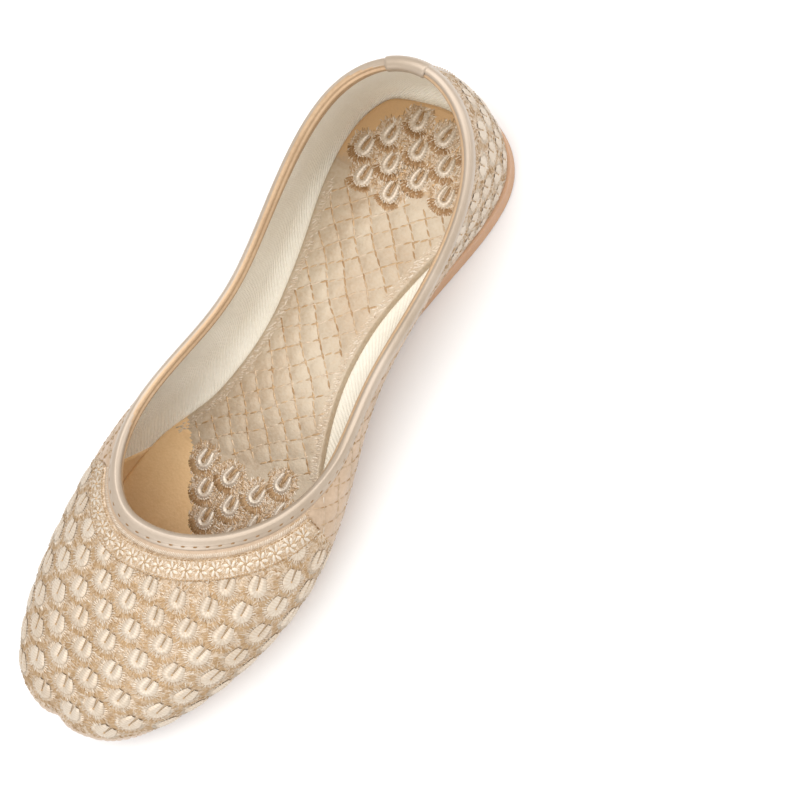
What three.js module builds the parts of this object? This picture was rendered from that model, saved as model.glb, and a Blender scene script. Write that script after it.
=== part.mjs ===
import * as THREE from 'three';

// Mojari for the left foot, in millimetres. The toe points to -Y, the outer side of the foot is +X.

const shoeLength = 246; // nominal, the sole comes out 243.5 long and the upper 244.6
const ballWidth = 82; // nominal at the ball, the sole comes out 77.3 wide and the upper 84.2
const heelHeight = 60; // nominal, the top line's binding comes out 59.6 above the floor at the back
const upperWall = 1.8; // leather, padding and lining together
const heelSole = 8.5; // sole thickness under the heel
const waistSole = 5.6; // and under the waist
const toeSole = 4.2; // and at the toe
const archRise = 2.2; // the waist clears the floor by this
const toeSpring = 6; // the toe tip clears the floor by this
const ledge = 0.9; // the sole stands out round the upper by this
const insoleThick = 2.6;
const insoleWaistIn = 3.4; // the insole is narrower at the waist by this on each side
const insoleHeelIn = 3.2; // the insole stops short of the heel's back by this
const bindingWide = 4.2; // how far the top line binding reaches down
const bindingThick = 0.9;
const seatGap = 0.3; // between parts that sit on each other
const sleeveGap = 0.45; // between the binding and the upper
const notchDeep = 1.5; // the small pinch at the toe tip
const aroundSteps = 96;
const upSteps = 12;

// One row per place round the shoe, from the toe tip along the outer side to the heel and back along the
// inner side. x is a share of ballWidth, y of shoeLength, z of heelHeight.
// Columns: sole edge x y, belly x y z, shoulder x y z, collar x y z.
const stations = [
  [0.009, -0.514, -0.010, -0.538, 0.419, 0.035, -0.383, 0.646, 0.043, -0.197, 0.805], // toe tip
  [0.251, -0.499, 0.265, -0.522, 0.440, 0.213, -0.373, 0.659, 0.166, -0.185, 0.798], // outer toe
  [0.392, -0.424, 0.508, -0.434, 0.478, 0.397, -0.316, 0.667, 0.286, -0.159, 0.782], // outer toe side
  [0.502, -0.310, 0.682, -0.314, 0.501, 0.531, -0.208, 0.673, 0.403, -0.118, 0.749], // outer fore
  [0.566, -0.186, 0.737, -0.183, 0.509, 0.581, -0.114, 0.629, 0.477, -0.065, 0.698], // outer ball
  [0.482, -0.055, 0.645, -0.036, 0.418, 0.531, -0.003, 0.585, 0.513, 0.015, 0.673], // outer ball back
  [0.277, 0.080, 0.425, 0.089, 0.355, 0.443, 0.098, 0.537, 0.427, 0.114, 0.655], // outer waist
  [0.312, 0.245, 0.376, 0.249, 0.351, 0.427, 0.243, 0.566, 0.460, 0.255, 0.726], // outer heel front
  [0.425, 0.435, 0.424, 0.442, 0.378, 0.402, 0.419, 0.678, 0.393, 0.415, 0.881], // outer heel
  [0.034, 0.503, 0.026, 0.524, 0.406, 0.029, 0.509, 0.775, 0.038, 0.490, 1.011], // heel back
  [-0.392, 0.444, -0.386, 0.443, 0.369, -0.333, 0.419, 0.671, -0.298, 0.407, 0.910], // inner heel
  [-0.376, 0.250, -0.388, 0.252, 0.330, -0.348, 0.243, 0.549, -0.294, 0.248, 0.745], // inner heel front
  [-0.236, 0.095, -0.289, 0.101, 0.322, -0.279, 0.103, 0.506, -0.220, 0.110, 0.655], // inner waist
  [-0.281, -0.027, -0.352, -0.018, 0.376, -0.321, 0.003, 0.541, -0.265, 0.008, 0.698], // inner ball back
  [-0.411, -0.157, -0.464, -0.157, 0.463, -0.369, -0.116, 0.572, -0.290, -0.077, 0.741], // inner ball
  [-0.401, -0.303, -0.451, -0.304, 0.455, -0.343, -0.230, 0.607, -0.235, -0.139, 0.791], // inner fore
  [-0.329, -0.423, -0.401, -0.434, 0.443, -0.267, -0.334, 0.610, -0.153, -0.177, 0.815], // inner toe side
  [-0.223, -0.503, -0.264, -0.531, 0.428, -0.120, -0.380, 0.628, -0.058, -0.197, 0.815], // inner toe
];
const column = { soleX: 0, soleY: 1, belly: 2, shoulder: 5, collar: 8 };
const sizes = [ballWidth, shoeLength, heelHeight];

// The four rows that shape a place on the loop, and how much each one counts.
function loopWeights(around) {
  const s = ((around % 1) + 1) % 1 * stations.length;
  const i = Math.floor(s);
  const t = s - i;
  const w = [(1 - t) ** 3 / 6, (3 * t ** 3 - 6 * t * t + 4) / 6, (-3 * t ** 3 + 3 * t * t + 3 * t + 1) / 6, t ** 3 / 6];
  return w.map((weight, k) => ({ weight, row: stations[(i - 1 + k + stations.length) % stations.length] }));
}

function loopValue(around, index, size) {
  return loopWeights(around).reduce((sum, { weight, row }) => sum + weight * row[index] * size, 0);
}

function loopPoint(around, first) {
  return new THREE.Vector3(...sizes.map((size, k) => loopValue(around, first + k, size)));
}

function ease(from, to, value) {
  const t = Math.min(1, Math.max(0, (value - from) / (to - from)));
  return t * t * (3 - 2 * t);
}

// Height of the underside along the shoe: flat heel, arch, flat ball, toe spring.
function soleBottom(y) {
  const arch = archRise * ease(0.236, 0.13, y / shoeLength) * ease(-0.114, 0.033, y / shoeLength);
  const toe = Math.max(0, -(y / shoeLength + 0.245) / 0.26);
  return arch + toeSpring * toe * toe;
}

function soleTop(y) {
  const toWaist = ease(0.285, 0.1, y / shoeLength);
  const toToe = ease(0.08, -0.25, y / shoeLength);
  return soleBottom(y) + heelSole - (heelSole - waistSole) * toWaist - (waistSole - toeSole) * toToe;
}

function aroundOf(j) {
  return (((j % aroundSteps) + aroundSteps) % aroundSteps) / aroundSteps;
}

// The pinch at the toe tip, zero away from it.
function notch(around, up) {
  const off = (around > 0.5 ? around - 1 : around) * aroundSteps;
  return notchDeep * Math.exp(-off * off * 1.2) * (1 - ease(0.1, 0.45, up));
}

function soleEdge(around) {
  return new THREE.Vector2(loopValue(around, column.soleX, ballWidth), loopValue(around, column.soleY, shoeLength));
}

function edgeNormal(around) {
  const step = 0.002;
  const run = soleEdge(around + step).sub(soleEdge(around - step)).normalize();
  return new THREE.Vector2(run.y, -run.x);
}

// A point of the sole's edge moved in by a distance, at a height of its own.
function edgePoint(around, inward, heightOf) {
  const out = edgeNormal(around);
  const p = soleEdge(around).addScaledVector(out, -inward - notch(around, 0));
  return new THREE.Vector3(p.x, p.y, heightOf(p.y));
}

// The outer face of the upper: one curve from the sole's edge over belly and shoulder to the collar.
function upperFace(around, up) {
  const foot = edgePoint(around, ledge, (y) => soleTop(y) + seatGap);
  const belly = loopPoint(around, column.belly);
  const shoulder = loopPoint(around, column.shoulder);
  const collar = loopPoint(around, column.collar);
  const d = 1 - up;
  return new THREE.Vector3()
    .addScaledVector(foot, d ** 3)
    .addScaledVector(belly, 3 * d * d * up)
    .addScaledVector(shoulder, 3 * d * up * up)
    .addScaledVector(collar, up ** 3)
    .add(new THREE.Vector3(0, up > 0 ? notch(around, up) * (1 - d ** 3) : 0, 0));
}

function upperNormal(around, up) {
  const du = 0.003;
  const low = Math.max(0, up - 0.02);
  const high = Math.min(1, up + 0.02);
  const along = upperFace(around + du, up).sub(upperFace(around - du, up));
  const rise = upperFace(around, high).sub(upperFace(around, low));
  return along.cross(rise).normalize();
}

// A point off the upper's face, outward when offset is positive.
function upperOffset(around, up, offset) {
  return upperFace(around, up).addScaledVector(upperNormal(around, up), offset);
}

// The lining side. Its bottom edge stays on the sole.
function upperInside(around, up) {
  if (up > 0) return upperOffset(around, up, -upperWall);
  return edgePoint(around, ledge + upperWall, (y) => soleTop(y) + seatGap);
}

function ringOf(pointAt) {
  return Array.from({ length: aroundSteps }, (_, j) => pointAt(aroundOf(j)));
}

function geometryFrom(points, faces) {
  const flat = points.flatMap((p) => [p.x, p.y, p.z]);
  const geometry = new THREE.BufferGeometry();
  geometry.setAttribute('position', new THREE.Float32BufferAttribute(flat, 3));
  geometry.setIndex(faces.flat());
  geometry.computeVertexNormals();
  return geometry;
}

// Closed loops joined in turn. Each loop runs the same way round.
function strips(rings, closed) {
  const faces = [];
  const n = aroundSteps;
  const last = closed ? rings.length : rings.length - 1;
  for (let r = 0; r < last; r++) {
    for (let j = 0; j < n; j++) {
      const a = r * n + j;
      const b = r * n + ((j + 1) % n);
      const c = ((r + 1) % rings.length) * n + ((j + 1) % n);
      const d = ((r + 1) % rings.length) * n + j;
      faces.push([a, b, c], [a, c, d]);
    }
  }
  return { points: rings.flat(), faces };
}

function hoopGeometry(rings) {
  const { points, faces } = strips(rings, true);
  return geometryFrom(points, faces);
}

// Fills a loop with rungs from the outer side to the inner side, each at its own height.
function fillLoop(body, ringIndex, across, heightOf, facingUp) {
  const n = aroundSteps;
  const half = n / 2;
  const base = ringIndex * n;
  const rung = (j) => {
    const from = body.points[base + j];
    const to = body.points[base + n - j];
    const ids = [base + j];
    for (let k = 1; k < across; k++) {
      const p = from.clone().lerp(to, k / across);
      p.z = heightOf(p.y);
      ids.push(body.points.length);
      body.points.push(p);
    }
    ids.push(base + n - j);
    return ids;
  };
  const add = (a, b, c) => body.faces.push(facingUp ? [a, b, c] : [a, c, b]);
  let before = rung(1);
  for (let k = 0; k < across; k++) add(base, before[k], before[k + 1]);
  for (let j = 2; j < half; j++) {
    const now = rung(j);
    for (let k = 0; k < across; k++) {
      add(before[k], now[k], now[k + 1]);
      add(before[k], now[k + 1], before[k + 1]);
    }
    before = now;
  }
  for (let k = 0; k < across; k++) add(before[k], base + half, before[k + 1]);
}

function plateGeometry(rings, across, bottomOf, topOf) {
  const body = strips(rings, false);
  fillLoop(body, 0, across, bottomOf, false);
  fillLoop(body, rings.length - 1, across, topOf, true);
  return geometryFrom(body.points, body.faces);
}

function outsoleGeometry() {
  const over = (rise) => (y) => soleBottom(y) + rise;
  const under = (drop) => (y) => soleTop(y) - drop;
  return plateGeometry(
    [
      ringOf((a) => edgePoint(a, 1.7, soleBottom)),
      ringOf((a) => edgePoint(a, 0.5, over(0.5))),
      ringOf((a) => edgePoint(a, 0, over(1.7))),
      ringOf((a) => edgePoint(a, 0.1, under(0.5))),
      ringOf((a) => edgePoint(a, 0.5, soleTop)),
    ],
    8,
    soleBottom,
    soleTop,
  );
}

function upperGeometry() {
  const rows = Array.from({ length: upSteps + 1 }, (_, k) => k / upSteps);
  const outer = rows.map((up) => ringOf((a) => upperFace(a, up)));
  const inner = rows.map((up) => ringOf((a) => upperInside(a, up))).reverse();
  return hoopGeometry([...outer, ...inner]);
}

function insoleInset(around) {
  const y = soleEdge(around).y / shoeLength;
  const waist = ease(-0.13, -0.01, y) * ease(0.4, 0.16, y);
  const heel = ease(0.43, 0.478, y);
  return ledge + upperWall + 0.8 + insoleWaistIn * waist + insoleHeelIn * heel;
}

function insoleGeometry() {
  const low = (y) => soleTop(y) + seatGap;
  const high = (y) => soleTop(y) + seatGap + insoleThick;
  return plateGeometry(
    [
      ringOf((a) => edgePoint(a, insoleInset(a) + 0.3, low)),
      ringOf((a) => edgePoint(a, insoleInset(a), (y) => low(y) + 0.7)),
      ringOf((a) => edgePoint(a, insoleInset(a), (y) => high(y) - 0.8)),
      ringOf((a) => edgePoint(a, insoleInset(a) + 0.8, high)),
    ],
    6,
    low,
    high,
  );
}

// The binding wraps the collar edge: down the outside, over the top and down the lining.
function bindingGeometry() {
  const reach = (around) => {
    const length = upperFace(around, 1).distanceTo(upperFace(around, 0.9));
    return (0.1 * bindingWide) / length;
  };
  const off = (share, offset, lift) => (around) => {
    const up = 1 - share * reach(around);
    const rise = upperFace(around, 1).sub(upperFace(around, 0.97)).normalize();
    return upperOffset(around, up, offset).addScaledVector(rise, lift);
  };
  const outNear = sleeveGap;
  const outFar = sleeveGap + bindingThick;
  const inNear = -upperWall - sleeveGap;
  const inFar = -upperWall - sleeveGap - bindingThick;
  return hoopGeometry([
    ringOf(off(1, outNear, 0)),
    ringOf(off(1, outFar - 0.2, 0)),
    ringOf(off(0.5, outFar, 0)),
    ringOf(off(0, outFar, 0.1)),
    ringOf(off(0, outNear, 1.15)),
    ringOf(off(0, inNear, 1.15)),
    ringOf(off(0, inFar, 0.1)),
    ringOf(off(0.5, inFar, 0)),
    ringOf(off(1, inFar + 0.2, 0)),
    ringOf(off(1, inNear, 0)),
    ringOf(off(0.5, inNear, 0)),
    ringOf(off(0, inNear, sleeveGap)),
    ringOf(off(0, outNear, sleeveGap)),
    ringOf(off(0.5, outNear, 0)),
  ]);
}

const group = new THREE.Group();
function addPart(name, geometry, color, roughness, metalness) {
  const mesh = new THREE.Mesh(geometry, new THREE.MeshStandardMaterial({ color, roughness, metalness }));
  mesh.name = name;
  group.add(mesh);
}
addPart('outsole', outsoleGeometry(), 0xc39169, 0.6, 0);
addPart('upper', upperGeometry(), 0xe4cdaa, 0.42, 0.35);
addPart('insole', insoleGeometry(), 0xdcb88c, 0.5, 0.15);
addPart('collar_binding', bindingGeometry(), 0xead6b4, 0.35, 0.4);

// The middle of the footprint goes to the origin and the sole to z = 0.
const box = new THREE.Box3().setFromObject(group);
const middle = box.getCenter(new THREE.Vector3());
for (const mesh of group.children) mesh.geometry.translate(-middle.x, -middle.y, -box.min.z);

export default group;
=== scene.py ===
import math

import bmesh
import bpy
import numpy as np
from mathutils import Matrix, Vector
from mathutils.bvhtree import BVHTree


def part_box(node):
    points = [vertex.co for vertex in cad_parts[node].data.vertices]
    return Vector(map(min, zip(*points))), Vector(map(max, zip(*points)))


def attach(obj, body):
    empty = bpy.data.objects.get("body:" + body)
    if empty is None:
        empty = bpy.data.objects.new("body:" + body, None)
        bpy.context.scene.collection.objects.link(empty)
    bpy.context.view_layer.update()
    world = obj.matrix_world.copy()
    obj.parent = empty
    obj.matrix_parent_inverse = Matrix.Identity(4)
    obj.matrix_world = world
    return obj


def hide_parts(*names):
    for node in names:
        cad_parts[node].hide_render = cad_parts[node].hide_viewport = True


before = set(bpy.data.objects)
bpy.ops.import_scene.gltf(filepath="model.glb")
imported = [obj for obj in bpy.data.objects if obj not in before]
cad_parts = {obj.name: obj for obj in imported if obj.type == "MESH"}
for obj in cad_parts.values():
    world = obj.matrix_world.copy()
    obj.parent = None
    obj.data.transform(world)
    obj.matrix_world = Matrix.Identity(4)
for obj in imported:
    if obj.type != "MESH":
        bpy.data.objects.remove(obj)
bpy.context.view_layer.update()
chance = np.random.default_rng(7)

# The shoe's own sizes in metres, as in the part, but for a smaller gap over the sole.
shoe = {
    "length": 0.246, "ball": 0.082, "heel": 0.060, "wall": 0.0018, "ledge": 0.0009,
    "heelSole": 0.0085, "waistSole": 0.0056, "toeSole": 0.0042, "arch": 0.0022, "spring": 0.006,
    "insole": 0.0026, "waistIn": 0.0034, "heelIn": 0.0032, "gap": 0.00006, "bindWide": 0.0042,
    "notch": 0.0015, "notchSharp": 96,
}

# One row per place round the shoe, toe tip, outer side, heel, inner side, as shares of ball, length and heel.
# Columns: sole edge x y, belly x y z, shoulder x y z, collar x y z.
# The shares were fitted to the shoe's outlines by a program, and some rows then changed.
stations = np.array([
    [0.009, -0.514, -0.010, -0.538, 0.419, 0.035, -0.383, 0.646, 0.043, -0.197, 0.805],
    [0.251, -0.499, 0.265, -0.522, 0.440, 0.213, -0.373, 0.659, 0.166, -0.185, 0.798],
    [0.392, -0.424, 0.508, -0.434, 0.478, 0.397, -0.316, 0.667, 0.286, -0.159, 0.782],
    [0.502, -0.310, 0.682, -0.314, 0.501, 0.531, -0.208, 0.673, 0.403, -0.118, 0.749],
    [0.566, -0.186, 0.737, -0.183, 0.509, 0.581, -0.114, 0.629, 0.477, -0.065, 0.698],
    [0.482, -0.055, 0.645, -0.036, 0.418, 0.531, -0.003, 0.585, 0.513, 0.015, 0.673],
    [0.277, 0.080, 0.425, 0.089, 0.355, 0.443, 0.098, 0.537, 0.427, 0.114, 0.655],
    [0.312, 0.245, 0.376, 0.249, 0.351, 0.427, 0.243, 0.566, 0.460, 0.255, 0.726],
    [0.425, 0.435, 0.424, 0.442, 0.378, 0.402, 0.419, 0.678, 0.393, 0.415, 0.881],
    [0.034, 0.503, 0.026, 0.524, 0.406, 0.029, 0.509, 0.775, 0.038, 0.490, 1.011],
    [-0.392, 0.444, -0.386, 0.443, 0.369, -0.333, 0.419, 0.671, -0.298, 0.407, 0.910],
    [-0.376, 0.250, -0.388, 0.252, 0.330, -0.348, 0.243, 0.549, -0.294, 0.248, 0.745],
    [-0.236, 0.095, -0.289, 0.101, 0.322, -0.279, 0.103, 0.506, -0.220, 0.110, 0.655],
    [-0.281, -0.027, -0.352, -0.018, 0.376, -0.321, 0.003, 0.541, -0.265, 0.008, 0.698],
    [-0.411, -0.157, -0.464, -0.157, 0.463, -0.369, -0.116, 0.572, -0.290, -0.077, 0.741],
    [-0.401, -0.303, -0.451, -0.304, 0.455, -0.343, -0.230, 0.607, -0.235, -0.139, 0.791],
    [-0.329, -0.423, -0.401, -0.434, 0.443, -0.267, -0.334, 0.610, -0.153, -0.177, 0.815],
    [-0.223, -0.503, -0.264, -0.531, 0.428, -0.120, -0.380, 0.628, -0.058, -0.197, 0.815],
])
share3 = np.array([shoe["ball"], shoe["length"], shoe["heel"]])


def ease(low, high, value):
    t = np.clip((value - low) / (high - low), 0, 1)
    return t * t * (3 - 2 * t)


def loopAt(around, first, sizes):
    s = np.mod(around, 1) * len(stations)
    i = np.floor(s).astype(int)
    t = s - i
    weights = np.stack([
        (1 - t) ** 3, 3 * t**3 - 6 * t * t + 4, -3 * t**3 + 3 * t * t + 3 * t + 1, t**3,
    ], -1) / 6
    nearest = (i[:, None] - 1 + np.arange(4)) % len(stations)
    picked = stations[nearest][:, :, first:first + len(sizes)]
    return np.einsum("nk,nkc->nc", weights, picked) * sizes


def soleBottom(y):
    s = y / shoe["length"]
    arch = shoe["arch"] * ease(0.236, 0.13, s) * ease(-0.114, 0.033, s)
    return arch + shoe["spring"] * np.clip(-(s + 0.245) / 0.26, 0, None) ** 2


def soleTop(y):
    s = y / shoe["length"]
    atWaist = (shoe["heelSole"] - shoe["waistSole"]) * ease(0.285, 0.1, s)
    atToe = (shoe["waistSole"] - shoe["toeSole"]) * ease(0.08, -0.25, s)
    return soleBottom(y) + shoe["heelSole"] - atWaist - atToe


def notch(around, up):
    off = (np.mod(around + 0.5, 1) - 0.5) * shoe["notchSharp"]
    return shoe["notch"] * np.exp(-off * off * 1.2) * (1 - ease(0.1, 0.45, up))


def edgeAt(around, inward):
    at = loopAt(around, 0, share3[:2])
    run = loopAt(around + 0.002, 0, share3[:2]) - loopAt(around - 0.002, 0, share3[:2])
    run /= np.linalg.norm(run, axis=1)[:, None]
    out = np.stack([run[:, 1], -run[:, 0]], -1)
    return at - out * (inward + notch(around, 0))[:, None]


ringAround = np.linspace(0, 1, 720, endpoint=False)
footprint = edgeAt(ringAround, 0 * ringAround)
soleLow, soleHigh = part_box("outsole")
shift = np.array([
    (soleLow.x + soleHigh.x - footprint[:, 0].min() - footprint[:, 0].max()) / 2,
    (soleLow.y + soleHigh.y - footprint[:, 1].min() - footprint[:, 1].max()) / 2,
    soleLow.z,
])


def faceAt(around, up):
    foot = edgeAt(around, shoe["ledge"] + 0 * around)
    foot = np.column_stack([foot, soleTop(foot[:, 1]) + shoe["gap"]])
    d, up1 = (1 - up)[:, None], up[:, None]
    at = d**3 * foot + 3 * d * d * up1 * loopAt(around, 2, share3)
    at += 3 * d * up1**2 * loopAt(around, 5, share3) + up1**3 * loopAt(around, 8, share3)
    at[:, 1] += notch(around, up) * (1 - (1 - up) ** 3)
    return at + shift


def normalAt(around, up):
    along = faceAt(around + 0.003, up) - faceAt(around - 0.003, up)
    rise = faceAt(around, np.minimum(1, up + 0.02)) - faceAt(around, np.maximum(0, up - 0.02))
    out = np.cross(along, rise)
    return out / np.linalg.norm(out, axis=1)[:, None]


def skinAt(around, up, out):
    return faceAt(around, up) + normalAt(around, up) * np.reshape(out, (-1, 1))


# Lengths along the columns, to place things by their real distances.
columns, rows = 360, 40  # steps round the shoe and up a column
tableAround = np.linspace(0, 1, columns + 1)
tableUp = np.linspace(0, 1, rows + 1)
gridAround, gridUp = [g.ravel() for g in np.meshgrid(tableAround, tableUp, indexing="ij")]
tableAt = faceAt(gridAround, gridUp).reshape(columns + 1, rows + 1, 3)
steps = np.linalg.norm(np.diff(tableAt, axis=1), axis=2)
columnArc = np.concatenate([np.zeros((columns + 1, 1)), np.cumsum(steps, axis=1)], 1)


def lengthAlong(points):  # how far along a line of points each one is
    return np.concatenate([[0], np.cumsum(np.linalg.norm(np.diff(points, axis=0), axis=1))])


collarArc = lengthAlong(tableAt[:, rows])


def fromTable(table, around, up):
    a, b = np.mod(around, 1) * columns, np.clip(up, 0, 1) * rows
    i, j = np.minimum(a.astype(int), columns - 1), np.minimum(b.astype(int), rows - 1)
    s, t = a - i, b - j
    low = table[i, j] * (1 - s) + table[i + 1, j] * s
    return low * (1 - t) + (table[i, j + 1] * (1 - s) + table[i + 1, j + 1] * s) * t


def fromFoot(around, up):
    return fromTable(columnArc, around, up)


def fromCollar(around, up):
    return fromTable(columnArc, around, 1 + 0 * up) - fromTable(columnArc, around, up)


def upFor(around, height):  # the share up a column at a height along it
    arc = np.stack([np.interp(around, tableAround, columnArc[:, k]) for k in range(rows + 1)], -1)
    k = np.clip((arc < height[:, None]).sum(1) - 1, 0, rows - 1)
    at = np.arange(len(k))
    return (k + (height - arc[at, k]) / (arc[at, k + 1] - arc[at, k])) / rows


# Meshes.
def sheetMesh(name, nAcross, nUp, pointOf, uvScale=(1, 1), weld=True):
    bm = bmesh.new()
    bmesh.ops.create_grid(bm, x_segments=nAcross, y_segments=nUp, size=1)
    mesh = bpy.data.meshes.new(name)
    bm.to_mesh(mesh)
    bm.free()
    co = np.empty(len(mesh.vertices) * 3)
    mesh.vertices.foreach_get("co", co)
    s, t = (co.reshape(-1, 3)[:, :2].T + 1) / 2
    corner = np.empty(len(mesh.loops), int)
    mesh.loops.foreach_get("vertex_index", corner)
    uv = np.column_stack([s[corner] * uvScale[0], t[corner] * uvScale[1]])
    mesh.uv_layers.new(name="flat").data.foreach_set("uv", uv.ravel())
    mesh.vertices.foreach_set("co", pointOf(s, t).ravel())
    if weld:
        bm = bmesh.new()
        bm.from_mesh(mesh)
        bmesh.ops.remove_doubles(bm, verts=bm.verts, dist=2e-6)
        bm.to_mesh(mesh)
        bm.free()
    return mesh


def firstUv(mesh):  # the UV of each face's first corner
    uv = np.empty(len(mesh.loops) * 2)
    mesh.uv_layers[0].data.foreach_get("uv", uv)
    first = np.empty(len(mesh.polygons), int)
    mesh.polygons.foreach_get("loop_start", first)
    return uv.reshape(-1, 2)[first]


def piece(mesh, materials, replaces=()):
    mesh.polygons.foreach_set("use_smooth", [True] * len(mesh.polygons))
    for material in materials:
        mesh.materials.append(material)
    obj = bpy.data.objects.new(mesh.name, mesh)
    bpy.context.scene.collection.objects.link(obj)
    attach(obj, "root")
    for node in replaces:
        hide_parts(node)
    return obj


def setTone(mesh, toneOf):  # one number per vertex, from its place
    at = np.empty(len(mesh.vertices) * 3)
    mesh.vertices.foreach_get("co", at)
    mesh.attributes.new("tone", "FLOAT", "POINT").data.foreach_set("value", toneOf(at.reshape(-1, 3)))


def flatChart(start, end, wide, tall, origin, ahead):
    # a stretch of the upper laid flat with little stretching, to place small parts by their real sizes
    # origin and ahead are (column, row) of two grid points: the flat y axis runs from one to the other
    grids = np.meshgrid(np.linspace(start, end, wide), np.linspace(0, 1, tall), indexing="ij")
    around, up = [g.ravel() for g in grids]
    bm = bmesh.new()
    bmesh.ops.create_grid(bm, x_segments=wide - 1, y_segments=tall - 1, size=1)
    mesh = bpy.data.meshes.new("chart")
    bm.to_mesh(mesh)
    bm.free()
    place = np.empty(len(mesh.vertices) * 3)
    mesh.vertices.foreach_get("co", place)
    column, row = np.rint((place.reshape(-1, 3)[:, :2].T + 1) / 2 * [[wide - 1], [tall - 1]]).astype(int)
    order = column * tall + row
    real = faceAt(around, up)
    mesh.vertices.foreach_set("co", real[order].ravel())
    chart = bpy.data.objects.new("chart", mesh)
    bpy.context.scene.collection.objects.link(chart)
    bpy.context.view_layer.objects.active = chart
    chart.select_set(True)
    bpy.ops.object.mode_set(mode="EDIT")
    bpy.ops.mesh.select_all(action="SELECT")
    bpy.ops.uv.unwrap(method="MINIMUM_STRETCH", margin=0)
    bpy.ops.object.mode_set(mode="OBJECT")
    uv = np.empty(len(mesh.loops) * 2)
    mesh.uv_layers.active.data.foreach_get("uv", uv)
    corner = np.empty(len(mesh.loops), int)
    mesh.loops.foreach_get("vertex_index", corner)
    flat = np.zeros((len(around), 2))
    flat[order[corner]] = uv.reshape(-1, 2)
    bpy.data.objects.remove(chart)
    bpy.data.meshes.remove(mesh)
    grid, real = flat.reshape(wide, tall, 2), real.reshape(wide, tall, 3)
    runs = [np.linalg.norm(np.diff(g, axis=1), axis=2).mean() for g in (real, grid)]
    along, rise = grid[wide // 2 + 5, 9] - grid[wide // 2, 9], grid[wide // 2, 14] - grid[wide // 2, 9]
    if along[0] * rise[1] < along[1] * rise[0]:
        grid = grid * (-1, 1)
    yAxis = grid[ahead] - grid[origin]
    yAxis = yAxis / np.linalg.norm(yAxis)
    xAxis = np.array([yAxis[1], -yAxis[0]])
    grid = np.stack([(grid - grid[origin]) @ xAxis, (grid - grid[origin]) @ yAxis], -1) * runs[0] / runs[1]
    flat = grid.reshape(-1, 2)
    quads = [(i * tall + j, (i + 1) * tall + j, (i + 1) * tall + j + 1, i * tall + j + 1)
             for i in range(wide - 1) for j in range(tall - 1)]
    corners = np.array([t for a, b, c, d in quads for t in ((a, b, c), (a, c, d))])
    tree = BVHTree.FromPolygons([(x, y, 0) for x, y in flat], corners.tolist())

    def lookUp(points):  # around, up and whether a flat point is on the stretch
        hit, inside = np.zeros(len(points), int), np.zeros(len(points), bool)
        spot = np.zeros((len(points), 2))
        for k, (x, y) in enumerate(points.tolist()):
            found = tree.ray_cast((x, y, 1), (0, 0, -1))
            inside[k] = found[0] is not None
            if not inside[k]:
                found = tree.find_nearest((x, y, 0))
            hit[k] = found[2]
            spot[k] = found[0][:2]
        a, b, c = [flat[corners[hit, n]] for n in range(3)]
        ab, ac, ap = b - a, c - a, spot - a
        area = ab[:, 0] * ac[:, 1] - ab[:, 1] * ac[:, 0]
        v = (ap[:, 0] * ac[:, 1] - ap[:, 1] * ac[:, 0]) / area
        w = (ab[:, 0] * ap[:, 1] - ab[:, 1] * ap[:, 0]) / area
        mix = np.column_stack([1 - v - w, v, w])
        return [(mix * source[corners[hit]]).sum(1) for source in (around, up)] + [inside]

    def flatOf(around, up):  # the other way: the flat point for a place on the upper
        around = np.mod(around - start + 0.5, 1) - 0.5 if start < 0 else around - start
        around = np.where(around < -0.3, around + 1, around) if start < 0 else around
        a = np.clip(around / (end - start), 0, 1) * (wide - 1)
        b = np.clip(up, 0, 1) * (tall - 1)
        i, j = np.minimum(a.astype(int), wide - 2), np.minimum(b.astype(int), tall - 2)
        s, t = (a - i)[:, None], (b - j)[:, None]
        low = grid[i, j] * (1 - s) + grid[i + 1, j] * s
        return low * (1 - t) + (grid[i, j + 1] * (1 - s) + grid[i + 1, j + 1] * s) * t

    def placeOn(points, high):
        around, up, _ = lookUp(points)
        return skinAt(around, up, high)

    return {"lookUp": lookUp, "place": placeOn, "flatOf": flatOf, "low": flat.min(0), "high": flat.max(0)}


backSeam = 0.513  # where the quarters meet behind
vamp = flatChart(-0.36, 0.36, 121, 41, (60, 40), (60, 6))
outerSide = flatChart(0.16, 0.54, 96, 31, (48, 0), (48, 30))
innerSide = flatChart(0.49, 0.84, 96, 31, (48, 0), (48, 30))
print("flat charts made")


# Small patterns, each a few faces, laid many times.
def pattern(name, wide, tall, shapeOf, tone=0.0):
    bm = bmesh.new()
    bmesh.ops.create_grid(bm, x_segments=wide, y_segments=tall, size=1)
    flat = [(vert.co.x, vert.co.y) for vert in bm.verts]
    for vert in bm.verts:
        vert.co = shapeOf(vert.co.x, vert.co.y)
    at = np.array([vert.co[:] for vert in bm.verts])
    mesh = bpy.data.meshes.new(name)
    bm.to_mesh(mesh)
    bm.free()
    return {"mesh": mesh, "at": at, "tone": np.full(len(at), tone), "flat": flat}


def gather(name, parts):  # parts: pattern, x, y, turn, (long, wide, high), tone
    bm = bmesh.new()
    where, tones = [], []
    for kind, x, y, turn, size, tone in parts:
        bm.from_mesh(kind["mesh"])
        at = kind["at"] * size
        c, s = math.cos(turn), math.sin(turn)
        turned = [x + at[:, 0] * c - at[:, 1] * s, y + at[:, 0] * s + at[:, 1] * c]
        where.append(np.column_stack([*turned, at[:, 2]]))
        tones.append(kind["tone"] + tone)
    mesh = bpy.data.meshes.new(name)
    bm.to_mesh(mesh)
    bm.free()
    return {"mesh": mesh, "at": np.concatenate(where), "tone": np.concatenate(tones)}


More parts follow.
